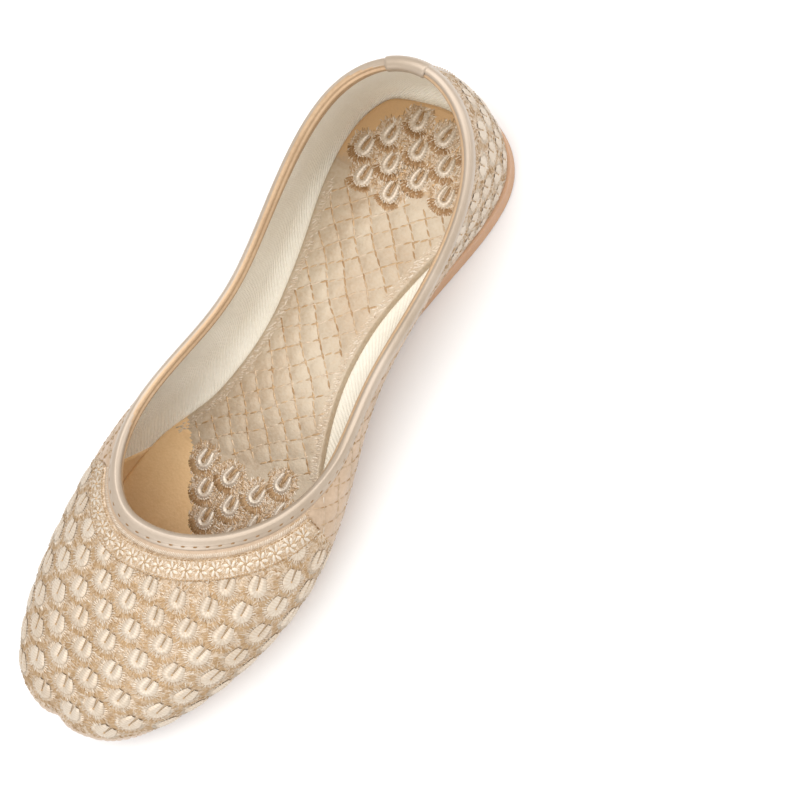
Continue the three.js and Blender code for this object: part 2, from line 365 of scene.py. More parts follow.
def lay(name, parts, placeOn, materials):
    laid = gather(name, parts)
    mesh, at = laid["mesh"], laid["at"]
    mesh.vertices.foreach_set("co", placeOn(at[:, :2], at[:, 2]).ravel())
    mesh.attributes.new("tone", "FLOAT", "POINT").data.foreach_set("value", laid["tone"])
    corner = np.empty(len(mesh.loops), int)
    mesh.loops.foreach_get("vertex_index", corner)
    mesh.uv_layers.new(name="flat").data.foreach_set("uv", at[corner, :2].ravel())
    print(name, len(parts), "laid,", len(mesh.polygons), "faces")
    return piece(mesh, materials)


def spikeShape(x, y):
    return Vector((x / 2, y / 2, 1 - max(abs(x), abs(y))))


def threadShape(x, y):
    return Vector((x / 2, y / 2 * (1 - 0.35 * abs(x) ** 3), (1 - abs(y)) * (abs(x) < 0.9)))


petal = {"leg": 0.0040, "high": 0.00052, "up": 0.0007, "ridges": 14}


def petalShape(x, y, middle=0.0016, half=0.00142):
    # a horseshoe of satin stitch, round towards the toe, its two legs closing to a point behind
    bend = math.pi * middle
    run = x * (bend / 2 + petal["leg"])
    past = max(0, abs(run) - bend / 2)
    turn = max(-math.pi / 2, min(math.pi / 2, run / middle))
    thin = 1 - 0.5 * (past / petal["leg"]) ** 2
    radius = middle * (1 - 0.28 * (past / petal["leg"]) ** 2) + y * half * thin
    ridge = 1 + 0.16 * math.cos(x * math.pi * petal["ridges"])
    crown = 0.0002 + petal["high"] * ridge * (1 - y * y) ** 0.5 * (1 - 0.6 * (past / petal["leg"]) ** 3)
    return Vector((math.sin(turn) * radius, math.cos(turn) * radius + petal["up"] - past, crown))


def dotShape(x, y):
    turn = math.pi * x
    return Vector((math.cos(turn) * (1 - y) / 2, math.sin(turn) * (1 - y) / 2, 0.5 + y / 2))


spike = pattern("spike", 2, 2, spikeShape)
thread = pattern("thread", 3, 2, threadShape)
petalBit = pattern("petal", 28, 3, petalShape, 0.94)
openPetal = pattern("open_petal", 28, 3, lambda x, y: petalShape(x, y, 0.00185, 0.00095), 0.98)
for kind in (petalBit, openPetal):  # painted shade: darker in the valleys between the ridges and along the low rim
    for k, (x, y) in enumerate(kind["flat"]):
        kind["tone"][k] -= 0.13 * (1 - math.cos(x * math.pi * petal["ridges"])) + 0.1 * (abs(y) > 0.9)
dot = pattern("dot", 8, 2, dotShape)

motif = {"across": 0.011, "along": 0.0082, "middle": (0, 0.0007), "kinds": 5}
# Rows of stitches round a scale: count, spread, from radius, to radius, width, height, tone, roughness.
scaleRings = {
    "upper": [
        (19, 1.25, 0.0044, 0.0062, 0.00062, 0.00024, 0.27, 0.12),
        (21, 2.25, 0.0027, 0.0044, 0.00044, 0.00062, 0.76, 0.2),
    ],
    "insole": [
        (21, 1.05, 0.0032, 0.0057, 0.0007, 0.0004, -0.06, 0.1),
        (17, 2.3, 0.0025, 0.0034, 0.0005, 0.0007, 0.9, 0.1),
        (6, 0.35, 0.0055, 0.0063, 0.0004, 0.0003, 0.75, 0.2),
    ],
}


def radial(count, spread, start, end, wide, high, tone, rough):
    parts = []
    for turn in np.linspace(-spread, spread, count):
        turn = turn + chance.normal(0, 0.02)
        radius = (start + end) / 2
        parts.append((
            spike, math.sin(turn) * radius + motif["middle"][0], math.cos(turn) * radius + motif["middle"][1],
            math.pi / 2 - turn, ((end - start) * chance.uniform(0.85, 1.12), wide, high),
            tone + chance.uniform(-rough, rough),
        ))
    return parts


def makeScale(where):
    onSole = where == "insole"
    parts = [part for ring in scaleRings[where] for part in radial(*ring)]
    parts.append((openPetal if onSole else petalBit, 0, 0, 0, (1, 1, 1), 0))
    slit = (0.0046, 0.0011, 0.0005) if onSole else (0.0042, 0.00038, 0.0004)
    parts.append((thread, 0, -0.0013, math.pi / 2, slit, 0.02 if onSole else 0.36))
    parts.append((dot, 0, 0.001, 0, (0.0006, 0.0006, 0.0006), 0.24))
    for way in (-1, 1):
        parts.append((thread, way * 0.0021, -0.0046, math.pi / 2 + way * 0.5, (0.0026, 0.0005, 0.00035), 0.6))
    return gather("scale", parts)


scaleKinds = {where: [makeScale(where) for _ in range(motif["kinds"])] for where in scaleRings}


def scatterScales(where, low, high, allowed, turn=0.0, turnOf=None, proud=1.0, tone=0.0):
    # staggered rows over the flat picture between low and high, where allowed says so
    reach = int(np.abs([low, high]).max() * 1.5 / motif["along"]) + 1
    lines = range(-reach, reach + 1)
    spots = np.array([((i + 0.5 * (j % 2)) * motif["across"], j * motif["along"]) for j in lines for i in lines])
    c, s = math.cos(turn), math.sin(turn)
    spots = spots @ np.array([[c, s], [-s, c]])
    spots = spots[((spots > low) & (spots < high)).all(1)]
    spots = spots[allowed(spots)]
    turns = turnOf(spots) if turnOf else np.full(len(spots), turn)
    parts = [(
        scaleKinds[where][chance.integers(motif["kinds"])],
        x + chance.normal(0, 0.00015), y + chance.normal(0, 0.00015),
        turnHere + chance.normal(0, 0.05), (1, 1, proud), tone + chance.uniform(-0.06, 0.06),
    ) for (x, y), turnHere in zip(spots, turns)]
    return spots, parts


def onLine(line, run, at):  # the flat point at a distance along a line
    return np.array([np.interp(at, run, line[:, n]) for n in (0, 1)])


def runStitches(points, length, wide, high, tone):
    # stitches end to end along a line of flat points, a quarter of a stitch apart
    run = lengthAlong(points)
    count = max(1, int(run[-1] / (length * 1.25)))
    parts = []
    for k in range(count):
        at = (k + 0.5) / count * run[-1]
        a, b = [onLine(points, run, at + d) for d in (-length / 2, length / 2)]
        way = b - a
        parts.append((
            thread, *((a + b) / 2), math.atan2(way[1], way[0]) + chance.normal(0, 0.05),
            (length, wide, high * chance.uniform(0.8, 1.15)), tone + chance.uniform(-0.22, 0.22),
        ))
    return parts


lattice = {"cell": 0.006, "wave": 0.0005, "waveLength": 0.019, "deep": 0.00038, "soft": 0.0011}


def warp(points):
    return lattice["wave"] * np.sin(points[:, ::-1] * 2 * math.pi / lattice["waveLength"] + (0.7, 2.1))


def pillow(points):
    # how far the leather stands up between the lines of the lattice
    at = points + warp(points)
    high = 1.0
    for way in (1, -1):
        across = (at[:, 0] + way * at[:, 1]) / math.sqrt(2) / lattice["cell"]
        off = np.abs(across - np.rint(across)) * lattice["cell"]
        high = high * (1 - np.exp(-(off / lattice["soft"]) ** 2))
    return lattice["deep"] * high


def latticeStitches(low, high, allowed, length=0.0026, wide=0.00046, tones=(0.2, 0.5)):
    parts = []
    reach = int(max(abs(np.array([*low, *high]))) * 1.5 / lattice["cell"]) + 2
    for way in (1, -1):
        for k in range(-reach, reach + 1):
            across = k * lattice["cell"]
            s = np.arange(-reach * lattice["cell"], reach * lattice["cell"], length * 1.04)
            flat = np.column_stack([(s + across) / math.sqrt(2), way * (across - s) / math.sqrt(2)])
            flat = flat[(flat > np.array(low)).all(1) & (flat < np.array(high)).all(1)]
            flat = flat - warp(flat)
            for x, y in flat[allowed(flat)] if len(flat) else ():
                parts.append((
                    thread, x, y, -way * math.pi / 4 + chance.normal(0, 0.06),
                    (length, wide, 0.00036 * chance.uniform(0.8, 1.2)),
                    tones[way < 0] + chance.uniform(-0.15, 0.3),
                ))
    return parts


# Finishes.
def add(tree, kind, inputs, **settings):
    node = tree.nodes.new("ShaderNode" + kind)
    for key, value in settings.items():
        setattr(node, key, value)
    for key, value in inputs.items():
        if isinstance(value, bpy.types.NodeSocket):
            tree.links.new(value, node.inputs[key])
        else:
            node.inputs[key].default_value = value
    return node


def finish(name, colours, **wish):
    # colours run from the darkest to the lightest, as (place, red, green, blue)
    look = {
        "patch": 60, "speck": 900, "mix": (0.5, 0.35), "tone": 0.0, "metal": 0.3, "rough": (0.34, 0.5),
        "grain": 1500, "grainDeep": 0.00005, "fine": 5200, "fineDeep": 0.00002, "ribs": None,
        "sheen": 0.0, "soft": 0.0, "coat": 0.0,
    }
    look.update(wish)
    material = bpy.data.materials.new(name)
    material.use_nodes = True
    tree = material.node_tree
    shader = tree.nodes["Principled BSDF"]
    place = add(tree, "TexCoord", {}).outputs["Object"]
    patch = add(tree, "TexNoise", {"Vector": place, "Scale": look["patch"], "Detail": 4.0}).outputs["Fac"]
    speck = add(tree, "TexNoise", {"Vector": place, "Scale": look["speck"], "Detail": 3.0}).outputs["Fac"]
    amount = add(tree, "Math", {0: patch, 1: look["mix"][0]}, operation="MULTIPLY").outputs[0]
    amount = add(tree, "Math", {0: speck, 1: look["mix"][1], 2: amount}, operation="MULTIPLY_ADD").outputs[0]
    if look["tone"]:
        tone = add(tree, "Attribute", {}, attribute_name="tone").outputs["Fac"]
        amount = add(tree, "Math", {0: tone, 1: look["tone"], 2: amount}, operation="MULTIPLY_ADD").outputs[0]
    ramp = add(tree, "ValToRGB", {"Fac": amount})
    ramp.color_ramp.elements.remove(ramp.color_ramp.elements[1])
    for k, (spot, *colour) in enumerate(colours):
        element = ramp.color_ramp.elements[0] if k == 0 else ramp.color_ramp.elements.new(spot)
        element.position = spot
        element.color = (*colour, 1)
    tree.links.new(ramp.outputs["Color"], shader.inputs["Base Color"])
    low, high = look["rough"]
    gloss = add(tree, "MapRange", {
        "Value": speck, "From Min": 0.3, "From Max": 0.7, "To Min": low, "To Max": high,
    })
    tree.links.new(gloss.outputs["Result"], shader.inputs["Roughness"])
    shader.inputs["Metallic"].default_value = look["metal"]
    shader.inputs["Sheen Weight"].default_value = look["sheen"]
    shader.inputs["Subsurface Weight"].default_value = look["soft"]
    shader.inputs["Coat Weight"].default_value = look["coat"]
    shader.inputs["Coat Roughness"].default_value = 0.25
    if look["soft"]:
        shader.inputs["Subsurface Radius"].default_value = (0.004, 0.002, 0.001)
    grain = add(tree, "TexVoronoi", {"Vector": place, "Scale": look["grain"]}, feature="SMOOTH_F1")
    cells = grain.outputs["Distance"]
    fine = add(tree, "TexNoise", {"Vector": place, "Scale": look["fine"], "Detail": 2.0}).outputs["Fac"]
    bump = add(tree, "Bump", {"Height": cells, "Distance": look["grainDeep"], "Strength": 1.0}).outputs["Normal"]
    bump = add(tree, "Bump", {"Height": fine, "Distance": look["fineDeep"], "Normal": bump}).outputs["Normal"]
    if look["ribs"]:
        flat = add(tree, "UVMap", {}, uv_map="flat").outputs["UV"]
        for direction, pitch, deep in look["ribs"]:
            wave = add(tree, "TexWave", {
                "Vector": flat, "Scale": 0.314 / pitch, "Distortion": 1.2, "Detail": 2.0, "Detail Scale": 1.5,
            }, bands_direction=direction).outputs["Fac"]
            bump = add(tree, "Bump", {"Height": wave, "Distance": deep, "Normal": bump}).outputs["Normal"]
    tree.links.new(bump, shader.inputs["Normal"])
    return material


champagne = finish(
    "champagne_leather", [(0.25, 0.42, 0.3, 0.2), (0.5, 0.52, 0.38, 0.265), (0.75, 0.61, 0.48, 0.36)],
    metal=0.25, rough=(0.3, 0.46),
)
sewnGround = finish(
    "sewn_gold_ground", [(0.28, 0.27, 0.165, 0.09), (0.45, 0.43, 0.3, 0.185), (0.6, 0.63, 0.5, 0.37)],
    metal=0.4, rough=(0.3, 0.5), patch=420, speck=1500, mix=(0.5, 0.5), grain=1700, grainDeep=0.00025,
    fine=3800, fineDeep=0.0001,
)
threads = finish(
    "gold_thread",
    [(0.08, 0.25, 0.13, 0.045), (0.35, 0.43, 0.28, 0.145), (0.6, 0.53, 0.415, 0.3), (0.95, 0.68, 0.6, 0.5)],
    tone=0.75, mix=(0.1, 0.2), metal=0.35, rough=(0.3, 0.46), grain=1600, grainDeep=0.00002,
    fine=3000, fineDeep=0.00004,
)
bindingGold = finish(
    "binding_champagne", [(0.3, 0.38, 0.295, 0.215), (0.5, 0.44, 0.355, 0.275), (0.7, 0.51, 0.425, 0.345)],
    metal=0.3, rough=(0.3, 0.38), grain=1500, grainDeep=0.000006, fineDeep=0.000004, coat=0.15,
    mix=(0.8, 0.1), patch=35,
)
liningCloth = finish(
    "cream_ribbed_lining",
    [(0.0, 0.68, 0.54, 0.38), (0.25, 0.79, 0.73, 0.61), (0.5, 0.87, 0.82, 0.71), (0.75, 0.91, 0.87, 0.77)],
    metal=0.0, rough=(0.7, 0.88), sheen=0.25, tone=1.0, grainDeep=0.00002,
    ribs=[("DIAGONAL", 0.00084, 0.00014), ("X", 0.0006, 0.00002)],
)
tanLeather = finish(
    "tan_leather", [(0.25, 0.7, 0.46, 0.23), (0.5, 0.79, 0.55, 0.3), (0.75, 0.83, 0.62, 0.37)], metal=0.15,
    rough=(0.42, 0.58), grain=1300,
)
insoleGold = finish(
    "insole_champagne",
    [(0.0, 0.57, 0.36, 0.18), (0.3, 0.42, 0.31, 0.205), (0.5, 0.5, 0.41, 0.3), (0.75, 0.57, 0.49, 0.38)],
    metal=0.2, rough=(0.34, 0.5), grain=1500, tone=1.0,
)
tapeGold = finish(
    "tape_gold", [(0.25, 0.42, 0.27, 0.155), (0.5, 0.51, 0.345, 0.205), (0.75, 0.58, 0.42, 0.28)],
    metal=0.3, rough=(0.3, 0.42), grain=1800, grainDeep=0.00003,
)
gumRubber = finish(
    "gum_rubber", [(0.2, 0.26, 0.13, 0.06), (0.45, 0.43, 0.235, 0.125), (0.7, 0.52, 0.31, 0.18)], metal=0.0,
    rough=(0.42, 0.6), soft=0.12, grain=1900, grainDeep=0.00009, tone=1.0, mix=(0.25, 0.15),
)
print("finishes made")


# The upper.
upperLook = {
    "outerLine": (-0.0131, -0.0115), "innerLine": (-0.0375, -0.007), "heelLine": (0.085, -0.024),
    "stripHalf": 0.0071, "bandHigh": 0.0072, "bandFrom": 0.17, "bandTo": 0.09,
}


def speedAt(around, up):  # metres of skin for a full turn at that height
    return np.linalg.norm(faceAt(around + 0.002, up) - faceAt(around - 0.002, up), axis=1) / 0.004


def bandTop(around):  # height of the plain band at the foot of the toe
    off = np.abs(np.mod(around + 0.5, 1) - 0.5)
    return 0.0012 + upperLook["bandHigh"] * ease(upperLook["bandFrom"], upperLook["bandTo"], off)


def regions(around, up):
    at = faceAt(around, up)
    outer = np.mod(around, 1) < 0.5
    top = np.where(outer, upperLook["outerLine"][0], upperLook["innerLine"][0])
    fall = np.where(outer, upperLook["outerLine"][1], upperLook["innerLine"][1])
    isVamp = at[:, 1] < top + fall * (1 - up)
    isHeel = at[:, 1] > upperLook["heelLine"][0] + upperLook["heelLine"][1] * up
    fromStrip = np.abs(np.mod(around, 1) - backSeam) * speedAt(around, up)
    return isVamp, isHeel, fromStrip - upperLook["stripHalf"]


def sideFlat(around, up):
    around = np.mod(around, 1)
    isOuter = (around < backSeam)[:, None]
    return np.where(isOuter, outerSide["flatOf"](around, up), innerSide["flatOf"](around, up))


def upperSkin(s, t):
    isVamp, isHeel, fromStrip = regions(s, t)
    soft = np.clip(fromCollar(s, t) / 0.004 - 1, 0, 1) * np.clip(fromFoot(s, t) / 0.003, 0, 1)
    out = pillow(sideFlat(s, t)) * soft * ~isVamp * ~isHeel * np.clip(fromStrip / 0.002, 0, 1)
    return skinAt(s, t, out)


skinMesh = sheetMesh("upper_skin", 720, 90, upperSkin, (0.6, 0.05))
faceUv = firstUv(skinMesh) / (0.6, 0.05)
isVamp, isHeel, _ = regions(faceUv[:, 0] + 0.0007, np.clip(faceUv[:, 1] + 0.005, 0, 1))
fall = fromCollar(faceUv[:, 0], faceUv[:, 1])
sewn = (isVamp & (fall > 0.0076)) | (isHeel & (fall > 0.0052))
skinMesh.polygons.foreach_set("material_index", sewn.astype(int))
piece(skinMesh, [champagne, sewnGround], ["upper"])
print("upper skin", len(skinMesh.polygons))


# Lining: a cream cloth that turns over the edge of the insole.
liningLook = {"seams": (0.448, 0.563), "seamDeep": 0.0004, "seamWide": 0.003, "turn": 0.2, "rise": 0.13}


def insoleInset(y):
    s = y / shoe["length"]
    waist = shoe["waistIn"] * ease(-0.13, -0.01, s) * ease(0.4, 0.16, s)
    return shoe["ledge"] + shoe["wall"] + 0.0008 + waist + shoe["heelIn"] * ease(0.43, 0.478, s)


def insoleEdge(around, more=0.0):
    inset = insoleInset(loopAt(around, 0, share3[:2])[:, 1])
    return edgeAt(around, inset + more)


def liningSkin(s, t):
    past = np.clip((t - liningLook["turn"]) / (1 - liningLook["turn"]), 0, 1)
    up = liningLook["rise"] + (1 - liningLook["rise"]) * past
    wall = skinAt(s, up, -shoe["wall"] * np.ones(len(s)))
    foot = edgeAt(s, shoe["ledge"] + shoe["wall"] + 0 * s)
    foot = np.column_stack([foot, soleTop(foot[:, 1]) + 0.0002]) + shift
    under = insoleEdge(s, 0.0012)
    under = np.column_stack([under, soleTop(under[:, 1]) + 0.0008]) + shift
    bend = np.clip(t / liningLook["turn"], 0, 1)[:, None]
    turned = (1 - bend) ** 2 * under + 2 * bend * (1 - bend) * foot + bend**2 * wall
    at = np.where(t[:, None] < liningLook["turn"], turned, wall)
    crease = sum(np.exp(-(((s - seam) * 0.6) / liningLook["seamWide"] * 3) ** 2) for seam in liningLook["seams"])
    wave = np.sin(t * 9 + 5 * np.sin(s * 31)) * np.sin(s * 57 + 2)
    puff = 0.0003 * wave * ease(0.2, 0.5, t) * ease(1, 0.8, t)
    return at - normalAt(s, np.clip(t, 0.1, 1)) * (crease * liningLook["seamDeep"] + puff)[:, None]


liningMesh = sheetMesh("lining", 480, 44, liningSkin, (0.6, 0.055))
liningMesh.flip_normals()
# painted shade: the cloth darkens towards tan on the outer side's lining ahead of the heel (x over 0.025, y under
# 0.07)
setTone(liningMesh, lambda at: -0.25 * ease(0.01, 0.025, at[:, 0]) * ease(0.1, 0.07, at[:, 1]))
piece(liningMesh, [liningCloth])


def toeLiningSkin(s, t):  # the tan leather under the vamp, lapped over the cloth
    inner, outer = -0.237 + 0.112 * t, 0.25 - 0.11 * t
    around = inner * (1 - s) + outer * s
    lap = np.sqrt(1 - (1 - np.clip(np.minimum(s, 1 - s) / 0.004, 0, 1)) ** 2)
    t = t * 0.97
    return liningSkin(around, t) - normalAt(around, np.clip(t, 0.1, 1)) * (0.0005 * lap)[:, None]


toeLiningMesh = sheetMesh("toe_lining", 260, 40, toeLiningSkin, (0.25, 0.055), weld=False)
toeLiningMesh.flip_normals()
piece(toeLiningMesh, [tanLeather])

# Binding: a folded strip round the collar, with a row of stitch holes.
bindingLook = {
    # its section from the outer edge over the top to the inner: share of the width down, mm out, mm up
    "down": (1.0, 0.97, 0.6, 0.25, 0.05, 0.0, 0.04, 0.16, 0.36, 0.52, 0.6),
    "out": (-0.1, 0.5, 1.0, 1.05, 0.75, -0.9, -2.4, -2.8, -2.8, -2.5, -1.75),
    "lift": (0.0, 0.0, 0.0, 0.2, 0.8, 1.15, 0.8, 0.2, 0.0, 0.0, 0.0),
    "at": (0.0, 0.05, 0.2, 0.36, 0.43, 0.5, 0.57, 0.64, 0.8, 0.95, 1.0),
    "holes": 0.0038, "holeAt": 0.17, "holeDeep": 0.00022, "holeSunk": 0.0001, "span": 0.012,
    "splitAt": 0.555, "splitDeep": 0.0005, "insideFrom": 0.54, "rolled": 0.09,
}


def collarShare(around):  # the share of a column that the binding's width takes
    step = np.linalg.norm(faceAt(around, 1 + 0 * around) - faceAt(around, 0.9 + 0 * around), axis=1)
    return 0.1 * shoe["bindWide"] / step


def bindAt(around, v, more):
    down, out, lift = [
        sum(np.interp(v + d, bindingLook["at"], bindingLook[key]) for d in (-0.02, 0, 0.02)) / 3
        for key in ("down", "out", "lift")
    ]
    one = 1 + 0 * around
    rise = faceAt(around, one) - faceAt(around, 0.97 * one)
    rise /= np.linalg.norm(rise, axis=1)[:, None]
    up = 1 - down * collarShare(around)
    turn = np.clip((v - 0.36) / 0.28, 0, 1) * math.pi
    normal = normalAt(around, up)
    outward = normal * np.cos(turn)[:, None] + rise * np.sin(turn)[:, None]
    at = faceAt(around, up) + normal * (out * 0.001)[:, None] + rise * (lift * 0.001)[:, None]
    return at + outward * np.reshape(more, (-1, 1))


holeCount = int(collarArc[-1] / bindingLook["holes"])
holeRun = (np.arange(holeCount) + 0.5) / holeCount * collarArc[-1]


def bindSkin(s, t):
    run = np.interp(s, tableAround, collarArc) / collarArc[-1] * holeCount
    off = np.abs(run - np.floor(run) - 0.5) * bindingLook["holes"]
    dent = np.exp(-(off / 0.0008) ** 2) * np.exp(-((t - bindingLook["holeAt"]) / 0.045) ** 2)
    pull = 0.3 + 0.7 * dent
    groove = np.exp(-((t - bindingLook["holeAt"]) / 0.03) ** 2) * pull
    split = np.exp(-((t - bindingLook["splitAt"]) / 0.028) ** 2)
    return bindAt(s, t, -bindingLook["holeDeep"] * groove - bindingLook["splitDeep"] * split)


bindMesh = sheetMesh("collar_edge", 900, 56, bindSkin, (0.5, bindingLook["span"]))
bindAround, bindAcross = firstUv(bindMesh).T / [[0.5], [bindingLook["span"]]]
rolled = ease(0.51, 0.56, bindAround) * ease(0.84, 0.78, bindAround)  # on the inner side the inner face's finish begins nearer the top, as that side's edge leans outwards
inside = bindAcross > bindingLook["insideFrom"] - bindingLook["rolled"] * rolled
bindMesh.polygons.foreach_set("material_index", inside.astype(int))
piece(bindMesh, [bindingGold, tapeGold], ["collar_binding"])


def placeBinding(flat, high):  # flat is the run along the collar and the place across the binding
    return bindAt(np.interp(flat[:, 0], collarArc, tableAround), flat[:, 1] / bindingLook["span"], high)


def offStrip(run):  # the runs along the collar that the back strip leaves free
    return run[np.abs(run - np.interp(backSeam, tableAround, collarArc)) > 0.009]


# each hole is a small dark disc sunk into the binding: painted shade in the hole
lay("binding_holes", [
    (dot, run, bindingLook["holeAt"] * bindingLook["span"], 0, (0.00062, 0.00056, 0.0001), -0.05)
    for run in offStrip(holeRun)
], lambda flat, high: placeBinding(flat, high - bindingLook["holeSunk"]), [threads])


tape = {"from": 0.58, "wide": 0.72, "proud": 0.0009}


def tapeSkin(s, t):
    down = tape["from"] + tape["wide"] * t
    crown = np.sin(math.pi * np.clip(t, 0, 1)) ** 0.4
    return skinAt(s, 1 - down * collarShare(s), -shoe["wall"] - tape["proud"] * crown)


tapeMesh = sheetMesh("inner_tape", 480, 10, tapeSkin, (0.5, 0.003))
tapeMesh.flip_normals()
piece(tapeMesh, [tapeGold])

# Back strip, folded over the binding.
stripLook = {
    "thick": 0.00045, "fold": 0.72, "foot": 0.012, "long": 0.07, "seam": 0.0058, "stitches": 17, "pitch": 0.0029,
}


def stripAt(across, t, more):
    up = np.clip(stripLook["foot"] + t / stripLook["fold"], 0, 1)
    around = backSeam + 0 * across
    for _ in range(2):
        around = backSeam + across / speedAt(around, up)
    share = 1 - collarShare(around)
    low = np.clip(t / stripLook["fold"], 0, 1)
    out = stripLook["thick"] + more + 0.0005 * ease(0.93, 1, low)
    body = skinAt(around, stripLook["foot"] + low * (share - stripLook["foot"]), out)
    past = np.clip((t - stripLook["fold"]) / (1 - stripLook["fold"]), 0, 1)
    over = bindAt(around, past * 0.93 + 0.03, stripLook["thick"] + more)
    mix = ease(stripLook["fold"] - 0.01, stripLook["fold"] + 0.03, t)[:, None]
    return body * (1 - mix) + over * mix


def stripSkin(s, t):
    across = (s * 2 - 1) * upperLook["stripHalf"]
    edge = np.clip((1 - np.abs(s * 2 - 1)) / 0.1, 0, 1)
    return stripAt(across, t, -stripLook["thick"] * (1 - np.sqrt(1 - (1 - edge) ** 2)))


stripMesh = sheetMesh("back_strip", 36, 120, stripSkin, (0.014, stripLook["long"]))
piece(stripMesh, [bindingGold])
lay("strip_stitches", [
    (
        thread, edge * stripLook["seam"], (k + 0.5) * stripLook["pitch"], math.pi / 2,
        (0.0021, 0.0004, 0.00032), 0.35,
    )
    for edge in (-1, 1) for k in range(stripLook["stitches"])
], lambda flat, high: stripAt(flat[:, 0], flat[:, 1] / stripLook["long"], high), [threads])

# Plain pleated band under the toe.
footArc = lengthAlong(tableAt[:, 0])


def bandSkin(s, t):
    around = (s * 2 - 1) * (upperLook["bandFrom"] + 0.03)
    high = bandTop(around) + 0.0012
    run = np.interp(np.mod(around, 1), tableAround, footArc) - np.where(around < 0, footArc[-1], 0)
    sway = 0.0009 * np.sin(run / 0.0041) + 0.0006 * np.sin(run / 0.0017 + 1) + 0.0012 * t * np.sin(run / 0.006)
    beat = (run + sway) / 0.0023
    pleat = np.abs(np.sin(math.pi * beat)) ** 0.7 * (0.3 + 0.7 * ease(1, 0.2, t)) * ease(0, 0.08, t)
    ends = ease(0, 0.06, s) * ease(1, 0.94, s)
    return skinAt(around, upFor(np.mod(around, 1), t * high), (0.00008 + 0.0006 * pleat * ends) * (1 - t**6))


bandMesh = sheetMesh("toe_band", 1000, 14, bandSkin, (0.2, 0.008), weld=False)
piece(bandMesh, [champagne])
print("lining, binding, strip and band")


# Insole.
insoleLook = {
    "crown": 0.0006, "round": 0.0013, "heelLine": (0.0825, 0.2), "foreLine": (-0.0155, 0.28), "frontSum": -0.0525,
    "tanFrom": 0.084, "margins": (0.0034, 0.0044),
}
outline = insoleEdge(ringAround) + shift[:2]


def farFrom(points, ring):
    a, b = ring, np.roll(ring, -1, axis=0)
    best = np.full(len(points), 1.0)
    for k in range(len(a)):
        run = b[k] - a[k]
        t = np.clip((points - a[k]) @ run / (run @ run), 0, 1)
        best = np.minimum(best, ((points - a[k] - t[:, None] * run) ** 2).sum(1))
    return np.sqrt(best)


def insoleFlat(x, y):  # heel scales, fore scales, lattice
    heel = y > insoleLook["heelLine"][0] + insoleLook["heelLine"][1] * x
    fore = (y < insoleLook["foreLine"][0] + insoleLook["foreLine"][1] * x) & (x + y > insoleLook["frontSum"])
    return heel, fore, ~heel & ~fore & (x + y > insoleLook["frontSum"])


def insoleTop(points, far):
    step = 1 - np.clip(far / insoleLook["round"], 0, 1)
    edge = np.sqrt(1 - step * step)
    base = soleTop(points[:, 1] - shift[1]) + shift[2] + shoe["gap"] + shoe["insole"] * 0.2
    return base + shoe["insole"] * 0.8 * edge + insoleLook["crown"] * ease(0, 0.02, far)


halfOutline = np.linspace(0, 0.5, 400)
spanLength = sum(lengthAlong(loopAt(way, 0, share3[:2])) for way in (halfOutline, 1 - halfOutline))
spanLength /= spanLength[-1]


def ladder(s, t, edgeOf):  # across the shoe from the outer edge to the inner edge, from toe to heel
    around = np.interp(s, spanLength, halfOutline)
    t = t[:, None]
    return (edgeOf(around) * (1 - t) + edgeOf(1 - around) * t) + shift[:2]


def onInsole(which, margin, inside=0.0):
    def allowed(points):
        x, y = -points[:, 0], -points[:, 1]
        far = farFrom(-points, outline[::4])
        sure = [insoleFlat(x, y + more)[which] for more in (0, -inside, inside)]
        return insideOutline(-points) & (far > margin) & np.all(sure, axis=0)
    return allowed


def insideOutline(points):
    a, b = outline[::4], np.roll(outline[::4], -1, axis=0)
    inside = np.zeros(len(points), bool)
    for k in range(len(a)):
        cross = (a[k, 1] > points[:, 1]) != (b[k, 1] > points[:, 1])
        if cross.any():
            x = a[k, 0] + (points[:, 1] - a[k, 1]) * (b[k, 0] - a[k, 0]) / (b[k, 1] - a[k, 1])
            inside ^= cross & (points[:, 0] < x)
    return inside


insoleLow, insoleHigh = (-outline).min(0), (-outline).max(0)
padSpots, padParts = [], []
for which in (0, 1):
    allowed = onInsole(which, insoleLook["margins"][which], 0.0012)
    found, more = scatterScales("insole", insoleLow, insoleHigh, allowed, tone=0.14 * which)
    padSpots.append(found)
    padParts += more
padCentres = -np.concatenate(padSpots)


def nearScale(points, reach=0.0053):
    return np.min([np.hypot(*(points - spot).T) for spot in padCentres], axis=0) < reach


def insoleSkin(s, t):
    at = ladder(s, 0.5 - 0.5 * np.cos(math.pi * t), insoleEdge)
    far = farFrom(at, outline)
    net = insoleFlat(at[:, 0], at[:, 1])[2] & ~nearScale(at)
    puff = pillow(-at) * 0.7 * net * ease(0.003, 0.0045, far)
    return np.column_stack([at, insoleTop(at, far) + puff])


insoleMesh = sheetMesh("insole_pad", 300, 90, insoleSkin, (0.24, 0.08))
centres = np.empty(len(insoleMesh.polygons) * 3)
insoleMesh.polygons.foreach_get("center", centres)
centres = centres.reshape(-1, 3)[:, :2]
far = farFrom(centres, outline[::4])
plain = centres.sum(1) < insoleLook["frontSum"] + 0.006
setTone(insoleMesh, lambda at: -0.5 * ease(0, 0.012, at[:, 1] - 0.2 * at[:, 0] - insoleLook["tanFrom"]))
sewn = nearScale(centres) & (far > 0.0016)
insoleMesh.polygons.foreach_set("material_index", np.where(sewn, 2, np.where(plain, 1, 0)))
insolePiece = piece(insoleMesh, [insoleGold, tanLeather, sewnGround], ["insole"])
print("insole")


